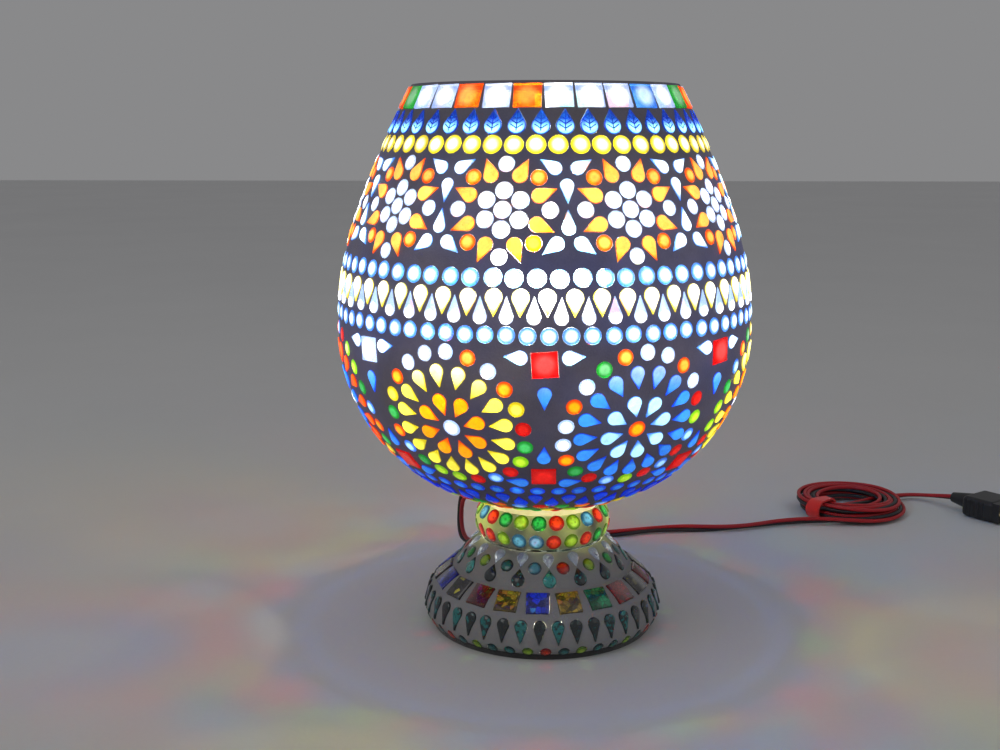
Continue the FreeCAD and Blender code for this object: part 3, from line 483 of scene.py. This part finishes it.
# ---------------------------------------------------------------- tiles
TINTS = {
    # colour: (rim, core, edge glow, core glow, how far the core burns out beside the dome)
    "clear": ((0.30, 0.48, 1.0), (1.0, 1.0, 1.0), 1.5, 6.0, 1.0),
    "yellow": ((0.80, 0.62, 0.0), (1.0, 0.93, 0.10), 1.2, 3.4, 0.95),
    "amber": ((1.0, 0.05, 0.0), (1.0, 0.50, 0.0), 1.2, 2.5, 0.10),
    "ember": ((0.9, 0.01, 0.0), (1.0, 0.20, 0.0), 1.1, 2.1, 0.10),
    "red": ((0.70, 0.0, 0.0), (1.0, 0.02, 0.01), 0.9, 1.7, 0.1),
    "lime": ((0.25, 0.65, 0.0), (0.75, 1.0, 0.05), 1.1, 2.0, 0.6),
    "green": ((0.0, 0.35, 0.03), (0.10, 0.75, 0.20), 1.0, 1.6, 0.5),
    "sky": ((0.02, 0.15, 1.0), (0.48, 0.86, 1.0), 1.3, 3.2, 0.95),
    "azure": ((0.01, 0.06, 0.95), (0.06, 0.42, 1.0), 1.1, 2.0, 0.8),
    "blue": ((0.0, 0.01, 0.75), (0.01, 0.12, 1.0), 1.1, 1.8, 0.5),
    "teal": ((0.0, 0.05, 0.06), (0.03, 0.30, 0.28), 0.3, 0.8, 0.0),
}


def islands(mesh):
    """Number of the separate tile that each vertex of a welded mesh belongs to."""
    ends = np.empty(len(mesh.edges) * 2, np.int64)
    mesh.edges.foreach_get("vertices", ends)
    a, b = ends.reshape(-1, 2).T
    mark = np.arange(len(mesh.vertices))
    while True:
        new = mark.copy()
        np.minimum.at(new, a, mark[b])
        np.minimum.at(new, b, mark[a])
        new = new[new]
        if (new == mark).all():
            return np.unique(mark, return_inverse=True)[1]
        mark = new


def tile_facts(mesh):
    """Centre, half width, seed and depth below the face, stored on every vertex."""
    n = len(mesh.vertices)
    co = np.empty(n * 3)
    mesh.vertices.foreach_get("co", co)
    co = co.reshape(-1, 3)
    which = islands(mesh)
    count = np.bincount(which).astype(float)
    centre = np.stack([np.bincount(which, co[:, k]) / count for k in range(3)], 1)
    off = co - centre[which]
    spread = np.empty((len(count), 3, 3))
    for i in range(3):
        for j in range(3):
            spread[:, i, j] = np.bincount(which, off[:, i] * off[:, j]) / count
    axes = np.linalg.eigh(spread)[1]
    out, mid = axes[:, :, 0], axes[:, :, 1]
    facing = np.sign((out[:, :2] * centre[:, :2]).sum(1))
    out = out * np.where(facing == 0, 1.0, facing)[:, None]
    rise = (off * out[which]).sum(1)
    top = np.full(len(count), -1.0)
    np.maximum.at(top, which, rise)
    half = np.zeros(len(count))
    np.maximum.at(half, which, np.abs((off * mid[which]).sum(1)))
    spot = np.round(centre * 5000.0) @ np.array([12.9898, 78.233, 37.719])
    seed = np.abs(np.sin(spot)) * 43758.5 % 1.0
    face = centre + out * top[:, None]
    for name, kind, data in (("tile_centre", "FLOAT_VECTOR", face[which]),
                             ("tile_half", "FLOAT", half[which]),
                             ("tile_seed", "FLOAT", seed[which]),
                             ("tile_depth", "FLOAT", (top[which] - rise) / TILE_DEPTH)):
        layer = mesh.attributes.new(name, kind, "POINT")
        key = "vector" if kind == "FLOAT_VECTOR" else "value"
        layer.data.foreach_set(key, data.astype(np.float32).ravel())


def tile_piece(node, material):
    """A welded copy of a node's tiles that knows the middle of each tile."""
    bm = bmesh.new()
    bm.from_mesh(NODES[node].data)
    bmesh.ops.remove_doubles(bm, verts=bm.verts, dist=TILE_WELD)
    mesh = bpy.data.meshes.new(node + "_glass")
    bm.to_mesh(mesh)
    bm.free()
    tile_facts(mesh)
    mesh.shade_smooth()
    mesh.set_sharp_from_angle(angle=math.radians(28.0))
    mesh.materials.clear()
    mesh.materials.append(material)
    piece = bpy.data.objects.new(node + "_glass", mesh)
    bpy.context.scene.collection.objects.link(piece)
    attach(piece, "lamp")
    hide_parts(node)
    return piece


def paint(material, *names):
    for name in names:
        for slot in NODES[name].material_slots:
            slot.material = material


def lay_tiles():
    lit = {c: lit_tile("glass_" + c, *t) for c, t in TINTS.items()}
    beads = {
        "green": bead("bead_green", (0.0, 0.20, 0.02), (0.05, 0.75, 0.10), 1.3),
        "lime": bead("bead_lime", (0.20, 0.35, 0.0), (0.55, 0.85, 0.05), 1.5),
        "red": bead("bead_red", (0.55, 0.005, 0.0), (1.0, 0.07, 0.01), 1.6),
        "sky": bead("bead_sky", (0.02, 0.20, 0.35), (0.25, 0.75, 0.95), 1.2),
        "teal": bead("bead_teal", (0.0, 0.06, 0.07), (0.05, 0.40, 0.38), 0.6),
    }
    foils = {
        "blue": foil_square("foil_blue", (0.004, 0.006, 0.09), (0.02, 0.05, 0.75),
                            (0.10, 0.55, 0.85)),
        "dark": foil_square("foil_dark", (0.006, 0.006, 0.007), (0.060, 0.055, 0.055),
                            (0.45, 0.40, 0.05)),
        "gold": foil_square("foil_gold", (0.030, 0.020, 0.004), (0.42, 0.28, 0.03),
                            (0.55, 0.20, 0.04)),
        "green": foil_square("foil_green", (0.001, 0.05, 0.018), (0.005, 0.22, 0.09),
                             (0.05, 0.40, 0.20)),
        "red": foil_square("foil_red", (0.05, 0.001, 0.002), (0.28, 0.006, 0.008),
                           (0.25, 0.05, 0.45)),
    }
    deep = deep_glass("deep_teal", (0.001, 0.010, 0.013), (0.01, 0.17, 0.18), (0.15, 0.80, 0.60))
    for node in sorted(NODES):
        kind, _, colour = node.rpartition("_")
        if node == "leaves_blue":
            tile_piece(node, leaf_glass())
        elif node == "tears_teal":
            tile_piece(node, deep)
        elif kind in ("dots", "tears", "squares"):
            tile_piece(node, lit[colour])
        elif kind == "beads":
            tile_piece(node, beads[colour])
        elif kind == "mirrors":
            tile_piece(node, foils[colour])


def finish_nodes():
    paint(blown_glass(), "globe_glass", "foot_glass")
    paint(dark_grout(), *[n for n in NODES if n.startswith("grout_")
                          and n not in ("grout_foot", "grout_knob")])
    paint(cement("foot_cement", (0.40, 0.40, 0.405), 0.041, 0.050, 0.30), "grout_foot")
    paint(cement("knob_cement", (0.38, 0.40, 0.30), 0.044, 0.062, 0.95), "grout_knob")
    paint(worn_metal("satin_brass", (0.78, 0.58, 0.26), 0.25), "clamp_plates", "locknuts",
          "threaded_tube")
    paint(worn_metal("bright_brass", (0.84, 0.66, 0.34), 0.16), "holder_contacts")
    paint(worn_metal("pin_brass", (0.85, 0.72, 0.44), 0.14), "plug_pins")
    paint(worn_metal("nickel", (0.74, 0.73, 0.70), 0.18), "bulb_cap")
    paint(moulded("bakelite", (0.016, 0.015, 0.015), 0.22), "holder_body")
    paint(moulded("ceramic", (0.82, 0.80, 0.74), 0.45), "holder_insert")
    paint(moulded("white_plastic", (0.86, 0.86, 0.84), 0.30), "bulb_body")
    paint(moulded("black_rubber", (0.014, 0.014, 0.015), 0.60), "flex_bush")
    paint(seal(), "neck_gasket")
    paint(moulded("black_plastic", (0.013, 0.013, 0.014), 0.34), "plug_body")
    paint(moulded("core_red", (0.45, 0.015, 0.02), 0.42), "inner_wires")
    paint(moulded("red_tape", (0.75, 0.012, 0.008), 0.50, 0.3), "coil_tie")
    paint(felt(), "felt_ring")
    paint(frosted_dome(), "bulb_dome")
    for name in ("globe_glass", "bulb_dome"):
        NODES[name].visible_shadow = False


# ---------------------------------------------------------------- flex
EXIT = (-0.03235, 0.04620, 0.05600)
RUN = [(-0.047, 0.067, 0.0555), (-0.050, 0.080, 0.022), (-0.046, 0.112, 0.0027),
       (-0.008, 0.134, 0.0027), (0.036, 0.132, 0.0027), (0.078, 0.150, 0.0027),
       (0.122, 0.150, 0.0027), (0.166, 0.170, 0.0027)]
TAIL = [(0.252, 0.229, 0.0035), (0.270, 0.233, 0.0030), (0.286, 0.212, 0.0075)]
COIL = (0.212, 0.202)
TURNS = 8
PER_TURN = 14
COIL_START = math.radians(-100.0)       # where the run of flex joins the coil
COIL_WIDE = 0.0352                      # radius of the outermost turn
COIL_IN = 0.0150                        # how far the innermost turn lies inside it
COIL_LOW = 0.0042                       # height of the bottom layer's turns
COIL_LAYER = 0.0051                     # rise to the top layer
SPLINE_OUT = 1.02                       # a spline runs a little inside its own points
TIE_SIDE = math.radians(-150.0)         # the turns lie tight here, under the tie
STRAND = 0.00125                        # radius of one core


def coil_points():
    """Turns wound from outside in along the bottom layer and back out along the top one."""
    points = []
    total = TURNS * PER_TURN
    for i in range(total + 1):
        turn = i / PER_TURN
        t = turn / TURNS
        angle = COIL_START + 2.0 * math.pi * turn * 0.99
        inwards = min(t, 1.0 - t) * 2.0
        radius = COIL_WIDE - COIL_IN * inwards
        loose = math.sin(0.5 * (angle - TIE_SIDE)) ** 2
        radius += 0.0011 * loose * math.sin(2.3 * turn + 0.7)
        rise = min(max((t - 0.44) / 0.12, 0.0), 1.0)
        z = COIL_LOW + COIL_LAYER * rise * rise * (3.0 - 2.0 * rise)
        z += 0.0006 * loose * math.sin(1.7 * turn)
        points.append((COIL[0] + SPLINE_OUT * radius * math.cos(angle),
                       COIL[1] + SPLINE_OUT * radius * math.sin(angle), z))
    return points


def smooth_line(name, points):
    """The flex's own centreline, read from one open spline through the given points."""
    curve = bpy.data.curves.new(name, "CURVE")
    curve.dimensions = "3D"
    spline = curve.splines.new("NURBS")
    spline.points.add(len(points) - 1)
    for point, p in zip(spline.points, points):
        point.co = (*p, 1.0)
    spline.order_u = 3
    spline.use_endpoint_u = True
    spline.resolution_u = 6
    obj = bpy.data.objects.new(name, curve)
    bpy.context.scene.collection.objects.link(obj)
    deps = bpy.context.evaluated_depsgraph_get()
    mesh = bpy.data.meshes.new_from_object(obj.evaluated_get(deps))
    line = [v.co.copy() for v in mesh.vertices]
    bpy.data.objects.remove(obj)
    bpy.data.meshes.remove(mesh)
    return line


def strand(name, line, sign):
    """One core of the flex as a mesh, turning slowly round the flex's centreline."""
    side = Vector((0.0, 0.0, 1.0)).cross(line[1] - line[0]).normalized()
    gone, places = 0.0, []
    for i, p in enumerate(line):
        ahead = (line[min(i + 1, len(line) - 1)] - line[max(i - 1, 0)]).normalized()
        side = (side - ahead * side.dot(ahead)).normalized()
        gone += (p - line[i - 1]).length if i else 0.0
        roll = 1.1 * math.sin(gone * 21.0) + 0.8 * math.sin(gone * 53.0)
        way = side * math.cos(roll) + ahead.cross(side) * math.sin(roll)
        places.append(p + way * (sign * STRAND))
    curve = bpy.data.curves.new(name, "CURVE")
    curve.dimensions = "3D"
    curve.bevel_depth = STRAND
    curve.bevel_resolution = 3
    curve.use_fill_caps = True
    spline = curve.splines.new("POLY")
    spline.points.add(len(places) - 1)
    for point, p in zip(spline.points, places):
        point.co = (*p, 1.0)
    obj = bpy.data.objects.new(name, curve)
    bpy.context.scene.collection.objects.link(obj)
    deps = bpy.context.evaluated_depsgraph_get()
    mesh = bpy.data.meshes.new_from_object(obj.evaluated_get(deps))
    bpy.data.objects.remove(obj)
    return mesh


def lay_flex():
    line = smooth_line("flex_line", [EXIT] + RUN + coil_points() + TAIL)
    bm = bmesh.new()
    for k, sign in enumerate((-1, 1)):
        mesh = strand("core_%d" % k, line, sign)
        before = len(bm.faces)
        bm.from_mesh(mesh)
        bm.faces.ensure_lookup_table()
        for face in bm.faces[before:]:
            face.material_index = k
            face.smooth = True
        bpy.data.meshes.remove(mesh)
    mesh = bpy.data.meshes.new("flex_cores")
    bm.to_mesh(mesh)
    bm.free()
    mesh.materials.append(moulded("flex_red", (0.42, 0.006, 0.012), 0.38))
    mesh.materials.append(moulded("flex_black", (0.016, 0.016, 0.018), 0.40))
    flex = bpy.data.objects.new("flex_cores", mesh)
    bpy.context.scene.collection.objects.link(flex)
    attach(flex, "lamp")
    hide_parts("flex", "flex_coil", "flex_tail")


# ---------------------------------------------------------------- put together
def light_and_floor():
    world = bpy.data.worlds.new("studio")
    bpy.context.scene.world = world
    world.use_nodes = True
    back = world.node_tree.nodes["Background"]
    back.inputs["Color"].default_value = (0.25, 0.25, 0.255, 1.0)
    back.inputs["Strength"].default_value = 1.0
    add_light("key", "AREA", (-1.3, -1.1, 1.7), 5.0, (1.0, 0.99, 0.97), 1.4, (0, 0, 0.1))
    add_light("fill", "AREA", (1.6, -0.9, 1.2), 1.6, (0.97, 0.98, 1.0), 1.6, (0, 0, 0.1))
    bulb = add_light("bulb_light", "POINT", (0, 0, GLOW_Z), 9.0, (1.0, 0.93, 0.82), 0.022)
    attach(bulb, "bulb")
    add_light("foot_light", "POINT", (0, 0, 0.046), 1.2, (1.0, 0.95, 0.8), 0.003)
    bm = bmesh.new()
    bmesh.ops.create_grid(bm, x_segments=4, y_segments=4, size=6.0)
    mesh = bpy.data.meshes.new("floor")
    bm.to_mesh(mesh)
    bm.free()
    mesh.materials.append(pale_floor())
    floor = bpy.data.objects.new("floor", mesh)
    bpy.context.scene.collection.objects.link(floor)


bpy.context.scene.view_settings.view_transform = "Standard"
set_camera()
lay_flex()
lay_tiles()
finish_nodes()
light_and_floor()
